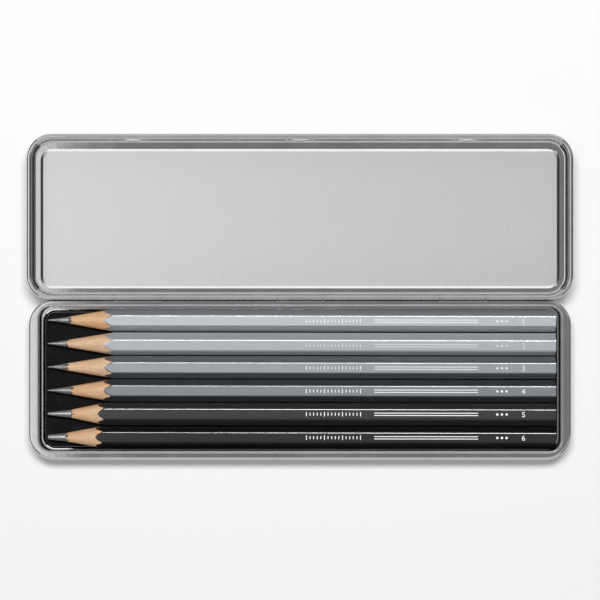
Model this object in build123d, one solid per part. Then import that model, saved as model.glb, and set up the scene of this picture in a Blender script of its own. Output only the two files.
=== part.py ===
from build123d import *
from math import cos, radians, sqrt
import os

# Pencil tin, open, lid lying flat behind the base. Millimetres, +X right, +Y back, +Z up.
# The origin is the middle of the base's underside. The tin is sized round its pencils.

# Pencils
pencil_length = 175.0
pencil_flats = 7.0
pencil_edge_radius = 0.9
coat_thickness = 0.12
pencil_gap = 0.26
# Degrees that the pencils have turned about their blunt ends, points towards the back
pencil_turn = -0.1
# One row for each pencil, from the back: lead radius, radius of the point, bared lead, bared wood,
# and the degrees it has rolled off its flat side, top towards the front
points = [
    (1.20, 0.12, 7.3, 22.0, 2),
    (1.20, 0.14, 6.4, 22.2, 8),
    (1.20, 0.12, 6.2, 22.2, 2),
    (1.42, 0.18, 7.9, 21.8, 0),
    (1.45, 0.50, 8.2, 19.4, -2),
    (1.45, 0.82, 6.2, 18.8, -2),
]
# Part of a worn point's radius that is bevelled off
point_bevel_share = 0.4
# Room from the pencils to the outside of the base: at the points, at the blunt ends, at the sides
tip_room = 6.5
end_room = 5.5
side_room = 3.65
# Sheet metal
sheet = 0.25
# Base pan
base_corner = 9.0
base_floor_edge = 1.3
shoulder_edge = 0.9
hem_seat_gap = 0.12
# Raised neck of the base, measured to the outside of its rolled edge
neck_inset_ends = 3.0
neck_inset_front = 2.4
neck_inset_back = 1.7
neck_corner = 4.85
neck_roll_radius = 0.42
neck_rise = 1.8
neck_roll_end = -75
# Step in the floor of the base
base_step_margin_ends = 5.45
base_step_margin_sides = 4.35
step_depth = 0.6
step_run = 0.9
least_step_corner = 1.5
# Lid pan, measured to the outside of its rolled hem
lid_overhang_ends = 0.7
lid_overhang_front = 0.5
lid_corner = 8.7
lid_floor_edge = 1.2
lid_step_margin_ends = 5.35
lid_step_margin_far = 5.85
lid_step_margin_near = 5.05
hem_radius = 1.0
hem_end = -120
# Hinge, on a line through the middle of the rolled hem
hinge_setback = 0.5
hinge_z = 6.4
wire_radius = 0.67
wire_end_inset = 9.5
wire_end_bevel = 0.2
knuckle_width = 15.4
knuckle_pitch = 56.0
knuckle_side_gap = 0.3
knuckle_count = 3
# Closing dimples in the front skirt
dimple_length = 10.7
dimple_height = 2.0
dimple_depth = 0.7
dimple_pitch = 57.5
dimple_drop = 1.15
dimple_count = 3
# Liner pad under the pencils, in the stepped floor
liner_gap = 0.15
liner_thickness = 0.7

# Derived sizes
pencil_edge_centre = (pencil_flats / 2 - pencil_edge_radius) / cos(radians(30))
pencil_edge = pencil_edge_centre + pencil_edge_radius
wood_edge = pencil_edge - coat_thickness
pencil_pitch = 2 * pencil_edge + pencil_gap
base_length = tip_room + pencil_length + end_room
base_width = len(points) * pencil_pitch - pencil_gap + 2 * side_room
shoulder_z = hinge_z - hem_radius - hem_seat_gap
neck_top = hinge_z + neck_rise
neck_length = base_length - 2 * neck_inset_ends
neck_width = base_width - neck_inset_front - neck_inset_back
neck_mid_y = (neck_inset_front - neck_inset_back) / 2
hinge_y = base_width / 2 + hinge_setback
hem_bore = hem_radius - sheet
lid_length = base_length + 2 * lid_overhang_ends
lid_near_y = hinge_y - hem_radius
lid_far_y = 2 * hinge_y + base_width / 2 + lid_overhang_front
lid_width = lid_far_y - lid_near_y
lid_mid_y = (lid_near_y + lid_far_y) / 2
dimple_bow = (dimple_height**2 / 4 + dimple_depth**2) / (2 * dimple_depth)
dimple_sweep = (dimple_length**2 / 4 + dimple_depth**2) / (2 * dimple_depth)


def block(length, width, corner, low, high):
    """Upright block with rounded corners between two heights."""
    outline = RectangleRounded(length, width, corner)
    return extrude(Pos(0, 0, low) * outline, amount=high - low)


def frustum(length, width, corner, low, high, spread):
    """Block that widens by spread on each side on its way up."""
    small = Pos(0, 0, low) * RectangleRounded(length, width, corner)
    large = Pos(0, 0, high) * RectangleRounded(length + 2 * spread, width + 2 * spread, corner + spread)
    return loft([small, large])


def pan_block(length, width, corner, low, high, foot, brow):
    """Block with its lower edge rounded by foot and its upper edge by brow, which may be 0."""
    solid = block(length, width, corner, low, high)
    solid = fillet(solid.faces().sort_by(Axis.Z)[0].edges(), foot)
    if brow > 0:
        solid = fillet(solid.faces().sort_by(Axis.Z)[-1].edges(), brow)
    return solid


def step_block(length, width, corner, low):
    """Stepped centre of a pan floor, from its lowest face up to the ring round it."""
    return frustum(length, width, corner, low, low + step_depth, step_run)


def pan(size, corner, foot, step, step_y, top, brow):
    """Outer and inner form of a sheet pan with a stepped floor, closed in by a rounded brow if it has one."""
    slope = step_run / step_depth
    lean = sheet * (sqrt(1 + slope * slope) - slope)
    step_corner = max(corner - (size[0] - step[0]) / 2, least_step_corner)
    outside = pan_block(*size, corner, step_depth, top, foot, brow)
    outside += Pos(0, step_y, 0) * step_block(*step, step_corner, 0)
    inner_size = [side - 2 * sheet for side in size]
    inner_step = [side - 2 * lean for side in step]
    inner_top = top - sheet if brow > 0 else top + sheet
    inner_brow = brow - sheet if brow > 0 else 0
    inside = pan_block(
        *inner_size, corner - sheet, step_depth + sheet, inner_top, foot - sheet, inner_brow
    )
    inside += Pos(0, step_y, 0) * step_block(*inner_step, step_corner - lean, sheet)
    return outside, inside


def roll_profile(radius, end_angle, wall):
    """Section of a sheet wall that rolls outward at its top, wall face at x 0, roll centre at height 0."""
    bore = radius - sheet
    turn = 180 - end_angle
    outer = CenterArc((radius, 0), radius, 180, -turn)
    inner = CenterArc((radius, 0), bore, 180, -turn)
    left = Line((0, -wall), (0, 0))
    foot = Line((0, -wall), (sheet, -wall))
    right = Line((sheet, -wall), (sheet, 0))
    lip = Line(outer @ 1, inner @ 1)
    return make_face([left, outer, lip, inner, right, foot])


def rim(profile, half_x, half_y, corner, z):
    """Section carried round a rounded rectangle whose inner wall face has the given half sizes."""
    section = Plane.XZ * profile
    run_x = 2 * (half_x - corner)
    run_y = 2 * (half_y - corner)
    side = Pos(half_x, run_y / 2, z) * extrude(section, amount=run_y)
    front = Pos(run_x / 2, half_y, z) * Rot(0, 0, 90) * extrude(section, amount=-run_x)
    turn = revolve(Pos(corner, 0, 0) * section, Axis.Z, revolution_arc=90)
    turn = Pos(half_x - corner, half_y - corner, z) * turn
    right = side + turn + mirror(turn, Plane.XZ)
    ring = right + mirror(right, Plane.YZ) + front + mirror(front, Plane.XZ)
    return ring


def spaced(count, pitch):
    """Centres of an evenly spaced row about the middle."""
    return [(i - (count - 1) / 2) * pitch for i in range(count)]


def knuckle(x):
    """Hinge tab of the base, rolled round the wire."""
    tab = roll_profile(hem_radius, hem_end, hinge_z - shoulder_z + 2 * sheet)
    body = extrude(Plane.XZ * tab, amount=knuckle_width)
    return Pos(x - knuckle_width / 2, hinge_y - hem_radius, hinge_z) * Rot(0, 0, 90) * body


def base_shell():
    """Base pan with shoulder, neck, rolled neck edge and hinge knuckles."""
    neck_x = neck_length - 4 * neck_roll_radius
    neck_y = neck_width - 4 * neck_roll_radius
    neck_r = neck_corner - 2 * neck_roll_radius
    lap = neck_roll_radius + sheet
    roll_z = neck_top - neck_roll_radius
    outside, inside = pan(
        (base_length, base_width),
        base_corner,
        base_floor_edge,
        (base_length - 2 * base_step_margin_ends, base_width - 2 * base_step_margin_sides),
        0,
        shoulder_z,
        shoulder_edge,
    )
    middle = Pos(0, neck_mid_y, 0)
    neck = block(neck_x + 2 * sheet, neck_y + 2 * sheet, neck_r + sheet, shoulder_z - sheet, roll_z - lap)
    mouth = block(neck_x, neck_y, neck_r, shoulder_z - 2 * sheet, roll_z)
    roll = rim(roll_profile(neck_roll_radius, neck_roll_end, lap), neck_x / 2, neck_y / 2, neck_r, roll_z)
    shell = outside + middle * neck - (inside + middle * mouth) + middle * roll
    for x in spaced(knuckle_count, knuckle_pitch):
        shell += knuckle(x)
    return shell


def spindle(inset):
    """Long round-ended form whose outer part makes a dimple, thinned by inset."""
    top = dimple_bow - inset
    reach = sqrt((dimple_sweep - inset) ** 2 - (dimple_sweep - dimple_bow) ** 2)
    arc = ThreePointArc((-reach, 0), (0, top), (reach, 0))
    return revolve(make_face([arc, Line(arc @ 1, arc @ 0)]), Axis.X)


def lid_shell():
    """Lid pan with rolled hem, knuckle windows and closing dimples, open and upside down."""
    wall_x = lid_length - 4 * hem_radius
    wall_y = lid_width - 4 * hem_radius
    wall_r = lid_corner - 2 * hem_radius
    lap = hem_radius + 2 * sheet
    outside, inside = pan(
        (wall_x + 2 * sheet, wall_y + 2 * sheet),
        wall_r + sheet,
        lid_floor_edge,
        (lid_length - 2 * lid_step_margin_ends, lid_width - lid_step_margin_far - lid_step_margin_near),
        (lid_step_margin_near - lid_step_margin_far) / 2,
        hinge_z - lap,
        0,
    )
    hem = rim(roll_profile(hem_radius, hem_end, lap), wall_x / 2, wall_y / 2, wall_r, hinge_z)
    shell = Pos(0, lid_mid_y, 0) * (outside - inside + hem)
    inner_y = lid_far_y - 2 * hem_radius
    for x in spaced(dimple_count, dimple_pitch):
        place = Pos(x, inner_y + dimple_bow - dimple_depth, hinge_z - dimple_drop)
        side = 4 * dimple_length
        inner_half = Pos(x, inner_y + sheet - side / 2, hinge_z - dimple_drop) * Box(side, side, side)
        shell += (place * spindle(0)) & inner_half
        shell -= place * spindle(sheet)
    window_x = knuckle_width + 2 * knuckle_side_gap
    window_r = hem_radius + knuckle_side_gap
    for x in spaced(knuckle_count, knuckle_pitch):
        shell -= Pos(x, hinge_y, hinge_z) * Box(window_x, 2 * window_r, 2 * window_r)
    return shell


def hinge_wire():
    """Steel wire on the hinge line."""
    wire = Rot(0, 90, 0) * Cylinder(wire_radius, base_length - 2 * wire_end_inset)
    wire = chamfer(wire.edges().filter_by(GeomType.CIRCLE), wire_end_bevel)
    return Pos(0, hinge_y, hinge_z) * wire


def liner():
    """Thin pad on the floor of the base."""
    length = base_length - 2 * (base_step_margin_ends + liner_gap)
    width = base_width - 2 * (base_step_margin_sides + liner_gap)
    corner = max(base_corner - base_step_margin_ends, least_step_corner) - liner_gap
    return block(length, width, corner, sheet, sheet + liner_thickness)


def hexagon_bar(flats, edge_radius, length):
    """Hexagonal bar along X with a flat on top, from x 0."""
    outline = RegularPolygon(flats / 2, 6, major_radius=False)
    outline = fillet(outline.vertices(), edge_radius)
    return extrude(Plane.YZ * outline, amount=length)


def sharpened(lead_radius, point_radius, bare_lead, bare_wood):
    """Turned solid that a sharpened pencil fits in, point at x 0."""
    slope = (wood_edge - lead_radius) / (bare_wood - bare_lead)
    wide = 2 * pencil_edge
    wide_x = bare_wood + (wide - wood_edge) / slope
    bevel = point_radius * point_bevel_share
    tip = [(0, 0), (0, point_radius - bevel), (bevel, point_radius)]
    side = [(bare_lead, lead_radius), (wide_x, wide), (pencil_length, wide), (pencil_length, 0)]
    return revolve(make_face(Polyline(tip + side, close=True)), Axis.X)


def pencil(lead_radius, point_radius, bare_lead, bare_wood):
    """Wood casing, lead and lacquer coat of one pencil, point at x 0."""
    cone = sharpened(lead_radius, point_radius, bare_lead, bare_wood)
    core = Pos(pencil_length / 2, 0, 0) * Rot(0, 90, 0) * Cylinder(lead_radius, pencil_length)
    inner_flats = pencil_flats - 2 * coat_thickness
    inner = hexagon_bar(inner_flats, pencil_edge_radius - coat_thickness, pencil_length)
    outer = hexagon_bar(pencil_flats, pencil_edge_radius, pencil_length)
    lead = core & cone
    wood = (inner & cone) - core
    coat = (outer - inner) & cone
    return wood, lead, coat


os.makedirs("parts", exist_ok=True)
export_step(base_shell(), "parts/base_shell.step")
export_step(lid_shell(), "parts/lid_shell.step")
export_step(hinge_wire(), "parts/hinge_wire.step")
export_step(liner(), "parts/liner.step")
rows = spaced(len(points), -pencil_pitch)
for number, (*sizes, roll, y) in enumerate(((*row, y) for row, y in zip(points, rows)), 1):
    seat = pencil_edge_radius + pencil_edge_centre * cos(radians(30 - abs(roll)))
    blunt_end = Pos(base_length / 2 - end_room, y, sheet + liner_thickness + seat)
    place = blunt_end * Rot(0, 0, pencil_turn) * Pos(-pencil_length, 0, 0)
    for name, solid in zip(["wood", "lead", "coat"], pencil(*sizes)):
        export_step(place * Rot(roll, 0, 0) * solid, f"parts/pencil_{number}_{name}.step")
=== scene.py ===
from math import pi, radians

import bmesh
import bpy
from mathutils import Matrix, Vector


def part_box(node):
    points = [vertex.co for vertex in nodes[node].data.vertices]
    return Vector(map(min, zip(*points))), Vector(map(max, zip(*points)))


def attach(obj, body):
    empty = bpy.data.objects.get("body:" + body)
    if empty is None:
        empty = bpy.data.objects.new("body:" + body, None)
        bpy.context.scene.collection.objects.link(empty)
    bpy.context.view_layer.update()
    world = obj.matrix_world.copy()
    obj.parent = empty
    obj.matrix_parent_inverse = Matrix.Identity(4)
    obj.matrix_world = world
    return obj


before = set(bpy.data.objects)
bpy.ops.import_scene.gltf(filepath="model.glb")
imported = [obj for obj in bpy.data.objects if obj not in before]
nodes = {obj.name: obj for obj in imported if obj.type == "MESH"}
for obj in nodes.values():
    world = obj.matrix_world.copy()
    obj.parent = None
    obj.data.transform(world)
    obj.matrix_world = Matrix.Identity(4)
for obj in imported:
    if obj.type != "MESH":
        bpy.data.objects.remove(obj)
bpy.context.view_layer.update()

# Six pencils from the back of the tin to the front: colour of each lacquer, and how
# metallic it is
LACQUER_GREYS = [
    (0.398, 0.424, 0.448),
    (0.549, 0.584, 0.614),
    (0.232, 0.249, 0.265),
    (0.131, 0.141, 0.151),
    (0.029, 0.0295, 0.0315),
    (0.006, 0.0065, 0.0080),
]
LACQUER_SHEENS = [0.5, 0.35, 0.8, 0.9, 0.0, 0.0]
# Each pencil's cedar, from 0, pale, to 1, orange
CEDAR_WARMTH = [0.85, 0.25, 0.35, 0.55, 0.45, 0.4]
# How far the bare lead reaches up the cone from the point
BARE_LEADS = [0.0073, 0.0064, 0.0062, 0.0079, 0.0082, 0.0062]
# Degrees that each pencil has rolled off its flat side
PENCIL_ROLLS = [2, 8, 2, 0, -2, -2]
# Degrees that all pencils are turned about their blunt ends
PENCIL_TURN = -0.1
PENCIL_FLATS = 0.0070
PENCIL_TIP_X = -0.087
PENCIL_END_X = 0.088

# Foil marks: where they lie along each pencil, from the middle of the tin, and their sizes
SCALE_START = 0.0022
SCALE_END = 0.0208
RULE_START = 0.0255
RULE_END = 0.0612
DOTS_X = 0.0678
NUMERAL_X = 0.0768
FOIL_THICKNESS = 0.00002
TICKS = 16
TICKS_TO_A_LONG_ONE = 5
TICK_WIDTH = 0.00028
TICK_LENGTH = 0.0010
LONG_TICK_LENGTH = 0.0015
RULE_OFFSET = 0.0004
RULE_WIDTH = 0.00026
DOTS = 3
DOT_PITCH = 0.0016
DOT_RADIUS = 0.0004
DOT_SIDES = 20
NUMERAL_HEIGHT = 0.0018
# Height of a numeral as a share of its type size
NUMERAL_SHARE = 0.7

# Satin panel of the lid: half its length, its front and back edge, and how softly it ends
PANEL_HALF = 0.0888
PANEL_NEAR = 0.0323
PANEL_FAR = 0.0788
PANEL_FADE = 0.0002

# Tones that each finish varies between, and its lowest and highest roughness
TIN_TONES = ((0.55, 0.55, 0.56), (0.62, 0.62, 0.63))
TIN_ROUGHNESS = (0.06, 0.10)
SATIN_TONES = ((0.86, 0.86, 0.88), (0.90, 0.90, 0.92))
SATIN_ROUGHNESS = (0.42, 0.50)
# Depth of the satin's lines as a share of the bright tin's mottle
SATIN_DEPTH = 0.12
WIRE_TONES = ((0.44, 0.44, 0.45), (0.58, 0.58, 0.59))
WIRE_ROUGHNESS = (0.22, 0.34)
LINER_TONES = ((0.0030, 0.0030, 0.0034), (0.0085, 0.0086, 0.0092))
LINER_SCUFF = (0.014, 0.0142, 0.015)
LINER_ROUGHNESS = (0.6, 0.8)
GRAPHITE_TONES = ((0.31, 0.312, 0.318), (0.53, 0.533, 0.54))
GRAPHITE_SMEAR = (0.13, 0.131, 0.135)
GRAPHITE_ROUGHNESS = (0.34, 0.5)
# Darkest and lightest part of a lacquer, as shares of its grey
LACQUER_SHARES = (0.95, 1.05)
LACQUER_ROUGHNESS = (0.42, 0.48)
FOIL_TONES = ((0.86, 0.865, 0.875), (0.96, 0.963, 0.97))
FOIL_ROUGHNESS = (0.3, 0.42)
# Cedar between its bands and inside them, each in the pale and in the orange kind
CEDAR_LIGHT = ((0.93, 0.70, 0.49), (0.92, 0.58, 0.31))
CEDAR_DEEP = ((0.87, 0.58, 0.37), (0.80, 0.42, 0.19))
CEDAR_FIBRE = (0.52, 0.27, 0.14)
CEDAR_PORE = (0.32, 0.15, 0.07)
CEDAR_ROUGHNESS = (0.50, 0.66)
# How far the cedar's pattern moves from one pencil to the next
CEDAR_STEP = (0.0137, 0.021, 0.0093)
# Graphite rubbed into the cedar: its tone, how far its edge wanders, how softly it ends
RUBBED_TONE = (0.115, 0.112, 0.115)
RUBBED_WANDER = (0.0, 0.0011)
RUBBED_FADE = 0.00025
# How fine each pattern on a pencil is along it and across it
BAND_SCALE = (20, 560, 560)
FIBRE_SCALE = (150, 3600, 3600)
PORE_SCALE = (600, 7500, 7500)
RUBBED_SCALE = (60, 1500, 1500)
TURNED_SCALE = (5200, 500, 500)
SMEAR_SCALE = (420, 1400, 1400)

# The floor lies a hair below the tin, so that the two don't share a face
FLOOR_Z = -0.0001
FLOOR_HALF = 3.0
FLOOR_GREY = (0.35, 0.35, 0.35)
FLOOR_GLOW = 0.22

WORLD_LIGHT = 0.06
TIN_MIDDLE = (0, 0.03, 0)
# Each lamp's name, place, the point that it faces, its two sizes, the brightness of its
# face, where 1 is white, and what it lights
LAMPS = [
    ("Left overhead", (-0.79, 0.1, 1.5), (-0.79, 0.1, 0), 1.2, 1.2, 0.93, "everything"),
    ("Ceiling", (0.0, 0.1, 1.6), (0.0, 0.1, 0), 4.4, 1.75, 0.22, "tin and floor"),
    ("Back strip", (0.0, 0.62, 1.5), (0.0, 0.62, 0), 4.4, 0.55, 0.62, "tin"),
    ("Front strip", (0.0, -0.5, 1.5), (0.0, -0.5, 0), 4.4, 0.55, 0.62, "tin"),
    ("Back wall", (0.0, 1.1, 0.62), TIN_MIDDLE, 1.8, 0.5, 1.45, "tin"),
    ("Front wall", (0.0, -1.05, 0.62), TIN_MIDDLE, 1.8, 0.5, 1.45, "tin"),
    ("Pencil ceiling", (0.0, 0.1, 1.6), (0.0, 0.1, 0), 4.4, 2.7, 0.11, "contents"),
    ("Pencil lamp", (0.0, 0.31, 1.35), TIN_MIDDLE, 0.72, 0.11, 48.0, "contents"),
    ("Floor lamp", (0.0, 0.75, 1.41), TIN_MIDDLE, 1.1, 0.55, 29.0, "floor"),
]

CAMERA_PLACE = (0.0, 0.0274, 1.205)
CAMERA_SENSOR = 36.0
CAMERA_LENS = 209.0
CAMERA_CLIP = (0.05, 20.0)


def add_object(name, data):
    """Puts new data into the scene as an object at the origin."""
    piece = bpy.data.objects.new(name, data)
    bpy.context.scene.collection.objects.link(piece)
    return piece


def mesh_from(name, form):
    """Turns a bmesh into mesh data and lets the bmesh go."""
    data = bpy.data.meshes.new(name)
    form.to_mesh(data)
    form.free()
    return data


def link(tree, source, target):
    tree.links.new(source, target)


def link_or_set(tree, value, target):
    """Links another node's socket, or writes down a plain number."""
    if isinstance(value, (int, float)):
        target.default_value = value
    else:
        link(tree, value, target)


def new_effect(name, inputs, outputs):
    """Empty shader node group: reads a place and named numbers, and puts out named values."""
    group = bpy.data.node_groups.new(name, "ShaderNodeTree")
    group.interface.new_socket("Vector", in_out="INPUT", socket_type="NodeSocketVector")
    for label, default in inputs:
        socket = group.interface.new_socket(label, in_out="INPUT", socket_type="NodeSocketFloat")
        socket.default_value = default
    for label in outputs:
        group.interface.new_socket(label, in_out="OUTPUT", socket_type="NodeSocketFloat")
    entry = group.nodes.new("NodeGroupInput").outputs
    result = group.nodes.new("NodeGroupOutput").inputs
    return group, entry, result


def place_effect(tree, group, where, **values):
    """Puts a group in a material and sets its inputs by name, with _ for a blank."""
    node = tree.nodes.new("ShaderNodeGroup")
    node.node_tree = group
    for label, value in values.items():
        node.inputs[label.replace("_", " ")].default_value = value
    link(tree, where, node.inputs["Vector"])
    return node.outputs


def noise(tree, vector, scale=1.0, detail=2.0, roughness=0.5, distortion=0.0):
    node = tree.nodes.new("ShaderNodeTexNoise")
    node.inputs["Detail"].default_value = detail
    node.inputs["Roughness"].default_value = roughness
    node.inputs["Distortion"].default_value = distortion
    link_or_set(tree, scale, node.inputs["Scale"])
    link(tree, vector, node.inputs["Vector"])
    return node.outputs["Fac"]


def spread(tree, value, old_range, new_range=(0, 1)):
    """Maps one range of a value onto another, held at the ends."""
    node = tree.nodes.new("ShaderNodeMapRange")
    node.inputs["From Min"].default_value, node.inputs["From Max"].default_value = old_range
    node.inputs["To Min"].default_value, node.inputs["To Max"].default_value = new_range
    link(tree, value, node.inputs["Value"])
    return node.outputs["Result"]


def blend_colours(tree, factor, first, second):
    """Colour between two colours or colour sockets by a factor socket."""
    node = tree.nodes.new("ShaderNodeMix")
    node.data_type = "RGBA"
    link(tree, factor, node.inputs["Factor"])
    for socket, colour in ((node.inputs[6], first), (node.inputs[7], second)):
        if isinstance(colour, tuple):
            socket.default_value = (*colour, 1)
        else:
            link(tree, colour, socket)
    return node.outputs[2]


def blend_values(tree, factor, first, second):
    node = tree.nodes.new("ShaderNodeMix")
    link(tree, factor, node.inputs["Factor"])
    link(tree, first, node.inputs[2])
    link(tree, second, node.inputs[3])
    return node.outputs[0]


def arithmetic(tree, operation, first, second=0.0):
    node = tree.nodes.new("ShaderNodeMath")
    node.operation = operation
    link_or_set(tree, first, node.inputs[0])
    link_or_set(tree, second, node.inputs[1])
    return node.outputs[0]


def stretched(tree, vector, scale, location=(0, 0, 0)):
    node = tree.nodes.new("ShaderNodeMapping")
    node.inputs["Scale"].default_value = scale
    node.inputs["Location"].default_value = location
    link(tree, vector, node.inputs["Vector"])
    return node.outputs["Vector"]


def coordinates(tree, where):
    """Sockets with the X, Y and Z of a place."""
    axes = tree.nodes.new("ShaderNodeSeparateXYZ")
    link(tree, where, axes.inputs["Vector"])
    return axes.outputs


def new_finish(name):
    """Material, its node tree, its Principled shader's sockets and the piece's own coordinates."""
    material = bpy.data.materials.new(name)
    material.use_nodes = True
    tree = material.node_tree
    where = tree.nodes.new("ShaderNodeTexCoord").outputs["Object"]
    return material, tree, tree.nodes["Principled BSDF"].inputs, where


def paint(tree, shader, tone, roughness):
    link(tree, tone, shader["Base Color"])
    link(tree, roughness, shader["Roughness"])


def raise_surface(tree, shader, height, depth, strength=1.0):
    bump = tree.nodes.new("ShaderNodeBump")
    bump.inputs["Strength"].default_value = strength
    bump.inputs["Distance"].default_value = depth
    link(tree, height, bump.inputs["Height"])
    link(tree, bump.outputs["Normal"], shader["Normal"])


def drawn_grain_effect():
    """Straight grain of rolled sheet or drawn wire, with soft clouds and a fine mottle."""
    group, entry, result = new_effect(
        "Drawn Grain",
        [("Across", 2600.0), ("Along", 70.0), ("Height", 120.0)],
        ["Lines", "Clouds", "Mottle"],
    )
    size = group.nodes.new("ShaderNodeCombineXYZ")
    link(group, entry["Across"], size.inputs["X"])
    link(group, entry["Along"], size.inputs["Y"])
    link(group, entry["Height"], size.inputs["Z"])
    scaled = group.nodes.new("ShaderNodeVectorMath")
    scaled.operation = "MULTIPLY"
    link(group, entry["Vector"], scaled.inputs[0])
    link(group, size.outputs["Vector"], scaled.inputs[1])
    lines = noise(group, scaled.outputs["Vector"], detail=3.0, roughness=0.62)
    clouds = noise(group, entry["Vector"], scale=95.0)
    mottle = noise(group, entry["Vector"], scale=850.0, roughness=0.55)
    link(group, mottle, result["Mottle"])
    link(group, spread(group, lines, (0.28, 0.72)), result["Lines"])
    link(group, spread(group, clouds, (0.3, 0.7)), result["Clouds"])
    return group


def skin_effect():
    """Slight waviness and fine specks of a lacquered or moulded skin."""
    group, entry, result = new_effect(
        "Skin",
        [("Wave Scale", 400.0), ("Speck Scale", 4000.0)],
        ["Waves", "Specks"],
    )
    waves = noise(group, entry["Vector"], entry["Wave Scale"], detail=1.5)
    specks = noise(group, entry["Vector"], entry["Speck Scale"], detail=3.0, roughness=0.7)
    link(group, waves, result["Waves"])
    link(group, spread(group, specks, (0.35, 0.65)), result["Specks"])
    return group


DRAWN_GRAIN = drawn_grain_effect()
SKIN = skin_effect()


def inside_panel(tree, where):
    """1 on the lid's flat panel and 0 outside its stepped edge."""
    axes = coordinates(tree, where)
    off_x = arithmetic(tree, "ABSOLUTE", axes["X"])
    from_middle = arithmetic(tree, "SUBTRACT", axes["Y"], (PANEL_NEAR + PANEL_FAR) / 2)
    off_y = arithmetic(tree, "ABSOLUTE", from_middle)
    half_y = (PANEL_FAR - PANEL_NEAR) / 2
    in_x = spread(tree, off_x, (PANEL_HALF, PANEL_HALF + PANEL_FADE), (1, 0))
    in_y = spread(tree, off_y, (half_y, half_y + PANEL_FADE), (1, 0))
    return arithmetic(tree, "MULTIPLY", in_x, in_y)


def tinplate(name, with_panel):
    """Bright, faintly mottled tinplate, with or without a satin panel of straight grain."""
    material, tree, shader, where = new_finish(name)
    grain = place_effect(tree, DRAWN_GRAIN, where)
    tone = blend_colours(tree, grain["Clouds"], *TIN_TONES)
    rough = spread(tree, grain["Clouds"], (0, 1), TIN_ROUGHNESS)
    height = grain["Mottle"]
    if with_panel:
        panel = inside_panel(tree, where)
        satin = blend_colours(tree, grain["Lines"], *SATIN_TONES)
        satin_rough = spread(tree, grain["Lines"], (0, 1), SATIN_ROUGHNESS)
        satin_height = arithmetic(tree, "MULTIPLY", grain["Lines"], SATIN_DEPTH)
        tone = blend_colours(tree, panel, tone, satin)
        rough = blend_values(tree, panel, rough, satin_rough)
        height = blend_values(tree, panel, height, satin_height)
    paint(tree, shader, tone, rough)
    shader["Metallic"].default_value = 1.0
    raise_surface(tree, shader, height, depth=0.000004)
    return material


def spring_wire():
    """Drawn steel of the hinge wire, darker than the sheet."""
    material, tree, shader, where = new_finish("Drawn wire")
    grain = place_effect(tree, DRAWN_GRAIN, where, Across=60.0, Along=5200.0, Height=5200.0)
    tone = blend_colours(tree, grain["Lines"], *WIRE_TONES)
    paint(tree, shader, tone, spread(tree, grain["Clouds"], (0, 1), WIRE_ROUGHNESS))
    shader["Metallic"].default_value = 1.0
    raise_surface(tree, shader, grain["Lines"], depth=0.000002)
    return material


def black_liner():
    """Black fine-grained pad: matt, with a pebbled skin and paler scuffs."""
    material, tree, shader, where = new_finish("Black liner")
    skin = place_effect(tree, SKIN, where, Wave_Scale=260.0, Speck_Scale=2600.0)
    tone = blend_colours(tree, skin["Specks"], *LINER_TONES)
    scuffed = spread(tree, skin["Waves"], (0.52, 0.72), (0, 0.5))
    tone = blend_colours(tree, scuffed, tone, LINER_SCUFF)
    paint(tree, shader, tone, spread(tree, skin["Specks"], (0, 1), LINER_ROUGHNESS))
    shader["Specular IOR Level"].default_value = 0.1
    raise_surface(tree, shader, skin["Specks"], depth=0.00005, strength=0.7)
    return material


def cedar(number, warmth, bare_lead):
    """Sharpened cedar: bands, fibres, pores, and graphite rubbed in next to the lead."""
    material, tree, shader, where = new_finish(f"Cedar {number}")
    shift = tuple(number * step for step in CEDAR_STEP)

    def grain(scale, **values):
        """Noise drawn out along the pencil, from another place for each pencil."""
        return noise(tree, stretched(tree, where, scale, location=shift), **values)

    def warmed(pale, orange):
        return tuple(low + (high - low) * warmth for low, high in zip(pale, orange))

    bands = grain(BAND_SCALE, roughness=0.55, distortion=0.4)
    fibres = grain(FIBRE_SCALE, detail=3.0)
    pores = grain(PORE_SCALE, detail=1.0)
    in_band = spread(tree, bands, (0.36, 0.64))
    wood = blend_colours(tree, in_band, warmed(*CEDAR_LIGHT), warmed(*CEDAR_DEEP))
    wood = blend_colours(tree, spread(tree, fibres, (0.40, 0.68), (0, 0.34)), wood, CEDAR_FIBRE)
    wood = blend_colours(tree, spread(tree, pores, (0.62, 0.72), (0, 0.4)), wood, CEDAR_PORE)

    wander = spread(tree, grain(RUBBED_SCALE), (0.42, 0.62), RUBBED_WANDER)
    past_edge = arithmetic(tree, "SUBTRACT", coordinates(tree, where)["X"], wander)
    edge = PENCIL_TIP_X + bare_lead
    rubbed = spread(tree, past_edge, (edge, edge + RUBBED_FADE), (1, 0))
    wood = blend_colours(tree, rubbed, wood, RUBBED_TONE)
    paint(tree, shader, wood, spread(tree, fibres, (0.3, 0.7), CEDAR_ROUGHNESS))
    height = arithmetic(tree, "ADD", fibres, pores)
    raise_surface(tree, shader, height, depth=0.00005, strength=0.6)
    return material


def graphite():
    """Sharpened graphite: grey sheen, turned lines round the point, darker smears."""
    material, tree, shader, where = new_finish("Graphite")
    turned = noise(tree, stretched(tree, where, TURNED_SCALE), detail=3.0, roughness=0.6)
    smears = noise(tree, stretched(tree, where, SMEAR_SCALE), detail=3.0)
    tone = blend_colours(tree, spread(tree, turned, (0.3, 0.7)), *GRAPHITE_TONES)
    tone = blend_colours(tree, spread(tree, smears, (0.5, 0.7), (0, 0.6)), tone, GRAPHITE_SMEAR)
    paint(tree, shader, tone, spread(tree, smears, (0.3, 0.7), GRAPHITE_ROUGHNESS))
    shader["Metallic"].default_value = 0.65
    raise_surface(tree, shader, turned, depth=0.00001, strength=0.6)
    return material


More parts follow.
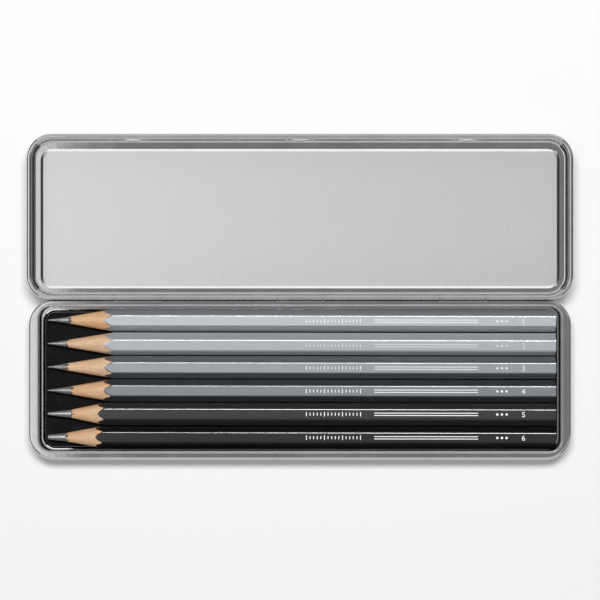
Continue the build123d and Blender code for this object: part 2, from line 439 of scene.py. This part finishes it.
def lacquer(number, grey, sheen):
    """Pencil lacquer: a more or less metallic grey under clear gloss, faintly wavy."""
    material, tree, shader, where = new_finish(f"Lacquer {number}")
    skin = place_effect(tree, SKIN, where, Wave_Scale=330.0, Speck_Scale=5200.0)
    darker, lighter = (tuple(value * share for value in grey) for share in LACQUER_SHARES)
    tone = blend_colours(tree, skin["Waves"], darker, lighter)
    paint(tree, shader, tone, spread(tree, skin["Specks"], (0, 1), LACQUER_ROUGHNESS))
    shader["Metallic"].default_value = sheen
    shader["Specular IOR Level"].default_value = 0.1
    shader["Coat Weight"].default_value = 1.0
    shader["Coat Roughness"].default_value = 0.10
    shader["Coat IOR"].default_value = 1.7
    raise_surface(tree, shader, skin["Waves"], depth=0.00001, strength=0.05)
    return material


def silver_foil():
    """Hot-stamped silver foil of the marks, with fine specks."""
    material, tree, shader, where = new_finish("Silver foil")
    skin = place_effect(tree, SKIN, where, Wave_Scale=900.0, Speck_Scale=9000.0)
    tone = blend_colours(tree, skin["Specks"], *FOIL_TONES)
    paint(tree, shader, tone, spread(tree, skin["Waves"], (0.3, 0.7), FOIL_ROUGHNESS))
    shader["Metallic"].default_value = 0.15
    return material


def dress(node_name, material):
    """Gives a carried-over CAD node its finish."""
    data = nodes[node_name].data
    data.materials.clear()
    data.materials.append(material)


def dress_tin():
    """Finishes of the two shells, the wire and the liner."""
    dress("base_shell", tinplate("Bright tinplate", False))
    dress("lid_shell", tinplate("Tinplate with satin panel", True))
    dress("hinge_wire", spring_wire())
    dress("liner", black_liner())


def dress_pencils():
    """Finishes of each pencil's wood, lead and lacquer."""
    lead = graphite()
    pencils = zip(LACQUER_GREYS, LACQUER_SHEENS, CEDAR_WARMTH, BARE_LEADS)
    for number, (grey, sheen, warmth, bare_lead) in enumerate(pencils, 1):
        dress(f"pencil_{number}_wood", cedar(number, warmth, bare_lead))
        dress(f"pencil_{number}_lead", lead)
        dress(f"pencil_{number}_coat", lacquer(number, grey, sheen))


def finished_piece(name, form, material, body):
    """Makes a mesh piece from a bmesh, gives it its finish and lets it ride."""
    bmesh.ops.recalc_face_normals(form, faces=form.faces)
    piece = add_object(name, mesh_from(name, form))
    piece.data.materials.append(material)
    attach(piece, body)
    return piece


def add_bar(form, x_low, x_high, y_mid, width, low):
    """Thin flat bar of foil lying along X."""
    place = Matrix.Translation(((x_low + x_high) / 2, y_mid, low + FOIL_THICKNESS / 2))
    size = Matrix.Diagonal((x_high - x_low, width, FOIL_THICKNESS, 1))
    bmesh.ops.create_cube(form, size=1, matrix=place @ size)


def add_dot(form, x, radius, low):
    """Thin round dot of foil on the pencil's middle line."""
    bmesh.ops.create_cone(
        form,
        cap_ends=True,
        cap_tris=False,
        segments=DOT_SIDES,
        radius1=radius,
        radius2=radius,
        depth=FOIL_THICKNESS,
        matrix=Matrix.Translation((x, 0, low + FOIL_THICKNESS / 2)),
    )


def add_numeral(form, text, height, x, low):
    """Plain numeral, centred on the pencil's middle line."""
    curve = bpy.data.curves.new("Numeral", "FONT")
    curve.body = text
    curve.size = height / NUMERAL_SHARE
    curve.extrude = FOIL_THICKNESS / 2
    curve.align_x = "CENTER"
    holder = add_object("Numeral", curve)
    bpy.context.view_layer.update()
    evaluated = holder.evaluated_get(bpy.context.evaluated_depsgraph_get())
    data = bpy.data.meshes.new_from_object(evaluated)
    data.transform(Matrix.Translation((x, -height / 2, low + FOIL_THICKNESS / 2)))
    form.from_mesh(data)
    bpy.data.objects.remove(holder)
    bpy.data.curves.remove(curve)
    bpy.data.meshes.remove(data)


def foil_marks(number, roll, material):
    """Row of ticks, a double rule, three dots and the pencil's plain number on its upper face."""
    top = PENCIL_FLATS / 2
    form = bmesh.new()
    for tick in range(TICKS):
        x = SCALE_START + (SCALE_END - SCALE_START) * tick / (TICKS - 1)
        length = TICK_LENGTH if tick % TICKS_TO_A_LONG_ONE else LONG_TICK_LENGTH
        add_bar(form, x - TICK_WIDTH / 2, x + TICK_WIDTH / 2, 0, length, top)
    for offset in (RULE_OFFSET, -RULE_OFFSET):
        add_bar(form, RULE_START, RULE_END, offset, RULE_WIDTH, top)
    for step in range(DOTS):
        add_dot(form, DOTS_X + step * DOT_PITCH, DOT_RADIUS, top)
    add_numeral(form, str(number), NUMERAL_HEIGHT, NUMERAL_X, top)

    # The marks roll with their pencil, and turn with it about its blunt end
    low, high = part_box(f"pencil_{number}_coat")
    centre = Vector(((low.x + high.x) / 2, (low.y + high.y) / 2, (low.z + high.z) / 2))
    turn = Matrix.Rotation(radians(PENCIL_TURN), 4, "Z")
    to_end = turn @ Vector((PENCIL_END_X - centre.x, 0, 0))
    place = Matrix.Translation(centre + to_end) @ turn @ Matrix.Translation((-PENCIL_END_X, 0, 0))
    rolled = place @ Matrix.Rotation(radians(roll), 4, "X")
    bmesh.ops.transform(form, matrix=rolled, verts=form.verts)
    body = f"pencil_{number}"
    return finished_piece(f"pencil_{number}_foil", form, material, body)


def pale_floor():
    """Plain white floor that keeps the tin's soft shadow."""
    form = bmesh.new()
    place = Matrix.Translation((0, 0, FLOOR_Z))
    bmesh.ops.create_grid(form, x_segments=1, y_segments=1, size=FLOOR_HALF, matrix=place)
    floor = add_object("Floor", mesh_from("Floor", form))

    material, tree, shader, _ = new_finish("White floor")
    shader["Base Color"].default_value = (*FLOOR_GREY, 1)
    shader["Roughness"].default_value = 0.9
    shader["Specular IOR Level"].default_value = 0.0
    # A faint glow that is seen by the camera and in reflections, and lights nothing else
    rays = tree.nodes.new("ShaderNodeLightPath").outputs
    seen = arithmetic(tree, "MAXIMUM", rays["Is Camera Ray"], rays["Is Glossy Ray"])
    seen = arithmetic(tree, "MAXIMUM", seen, rays["Is Transmission Ray"])
    pick = tree.nodes.new("ShaderNodeMixShader")
    link(tree, seen, pick.inputs["Fac"])
    for socket, strength in ((pick.inputs[1], 0.0), (pick.inputs[2], FLOOR_GLOW)):
        glow = tree.nodes.new("ShaderNodeEmission")
        glow.inputs["Strength"].default_value = strength
        link(tree, glow.outputs["Emission"], socket)
    total = tree.nodes.new("ShaderNodeAddShader")
    link(tree, tree.nodes["Principled BSDF"].outputs["BSDF"], total.inputs[0])
    link(tree, pick.outputs["Shader"], total.inputs[1])
    link(tree, total.outputs["Shader"], tree.nodes["Material Output"].inputs["Surface"])
    floor.data.materials.append(material)
    return floor


def softbox(name, place, target, size_x, size_y, brightness, receivers):
    """Rectangular lamp that lights these pieces, or everything where the list is empty."""
    data = bpy.data.lights.new(name, "AREA")
    data.shape = "RECTANGLE"
    data.size = size_x
    data.size_y = size_y
    data.energy = brightness * pi * size_x * size_y
    lamp = add_object(name, data)
    lamp.location = place
    aim = Vector(target) - Vector(place)
    lamp.rotation_euler = aim.to_track_quat("-Z", "Y").to_euler()
    if receivers:
        lit = bpy.data.collections.new(f"{name} lights")
        for piece in receivers:
            lit.objects.link(piece)
        lamp.light_linking.receiver_collection = lit


def studio(floor, foils):
    """Dim world, and every lamp with what it lights."""
    world = bpy.data.worlds.new("Studio")
    world.use_nodes = True
    background = world.node_tree.nodes["Background"].inputs
    background["Color"].default_value = (1, 1, 1, 1)
    background["Strength"].default_value = WORLD_LIGHT
    bpy.context.scene.world = world

    tin = [nodes[name] for name in ("base_shell", "lid_shell", "hinge_wire")]
    contents = [nodes[name] for name in nodes if name.startswith("pencil_") or name == "liner"]
    receivers = {
        "everything": [],
        "tin": tin,
        "tin and floor": tin + [floor],
        "contents": contents + foils,
        "floor": [floor],
    }
    for name, place, target, size_x, size_y, brightness, lights in LAMPS:
        softbox(name, place, target, size_x, size_y, brightness, receivers[lights])


def overhead_camera():
    """Camera straight above the open tin, as in the photograph."""
    data = bpy.data.cameras.new("Camera")
    data.sensor_width = CAMERA_SENSOR
    data.lens = CAMERA_LENS
    data.clip_start, data.clip_end = CAMERA_CLIP
    camera = add_object("Camera", data)
    camera.location = CAMERA_PLACE
    bpy.context.scene.camera = camera


foil = silver_foil()
dress_tin()
dress_pencils()
foils = [foil_marks(number, roll, foil) for number, roll in enumerate(PENCIL_ROLLS, 1)]
studio(pale_floor(), foils)
overhead_camera()
bpy.context.scene.view_settings.view_transform = "Standard"
